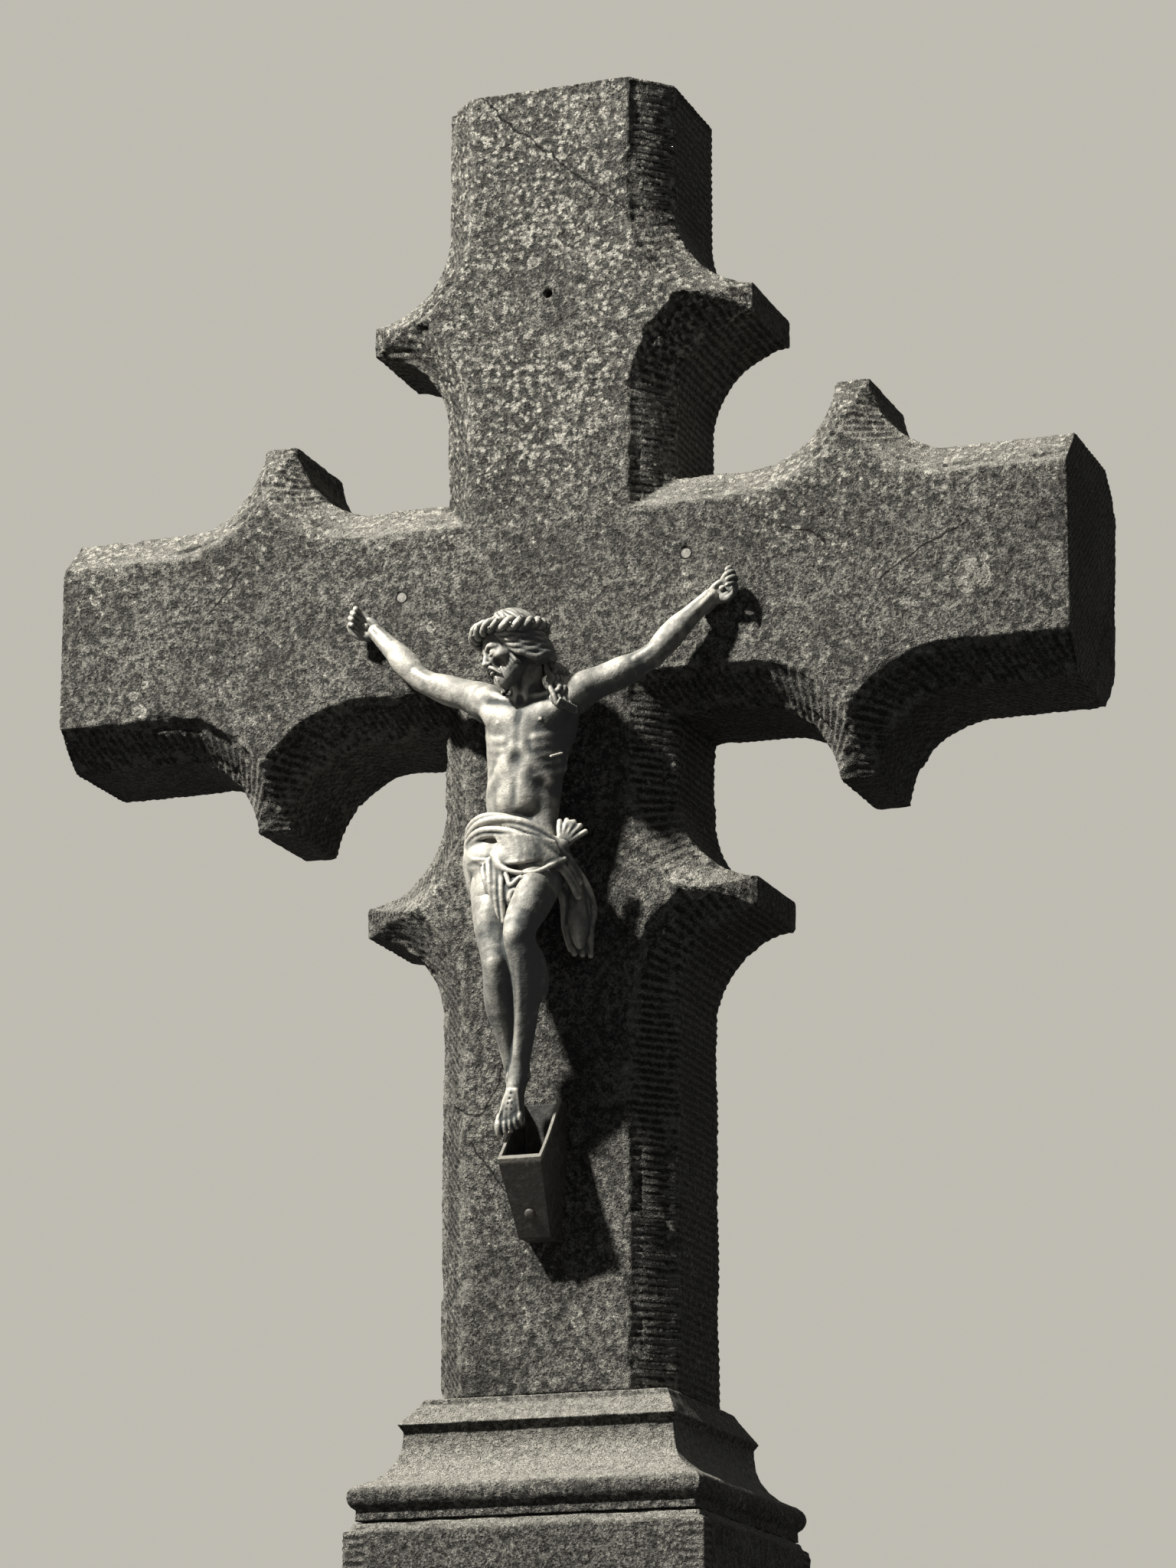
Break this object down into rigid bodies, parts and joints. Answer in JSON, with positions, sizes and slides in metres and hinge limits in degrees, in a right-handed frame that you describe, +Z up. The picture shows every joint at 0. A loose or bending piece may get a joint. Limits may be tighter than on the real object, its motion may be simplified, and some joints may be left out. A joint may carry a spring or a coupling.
{
  "type": "stone memorial cross with a cast figure",
  "caption": "Stone memorial cross with chamfered bars and pointed spurs, a cast figure on a foot bracket, and a moulded plinth.",
  "frame": {"origin": "centre of the underside of the foot course, on the ground", "axes": "+Z up, the figure faces -Y, +X to the right of someone who faces it"},
  "size_m": [1.3, 0.535, 2.65],
  "materials": {
    "cross_stone": "tooled and bush-hammered dark stone with pale lichen",
    "base_stone": "weathered moulded stone with pale lichen",
    "plinth_stone": "tooled weathered stone",
    "figure_metal": "cast, pale where worn, dark patina in the hollows",
    "bracket_metal": "dark weathered casting",
    "plug_mortar": "pale set mortar"
  },
  "bodies": {
    "root": {"cross": "cross_stone", "base_stone": "base_stone", "die": "plinth_stone", "foot_course": "plinth_stone", "figure": "figure_metal", "foot_bracket": "bracket_metal", "bracket_bolt": "bracket_metal", "left_plug": "plug_mortar", "right_plug": "plug_mortar"}
  },
  "joints": []
}
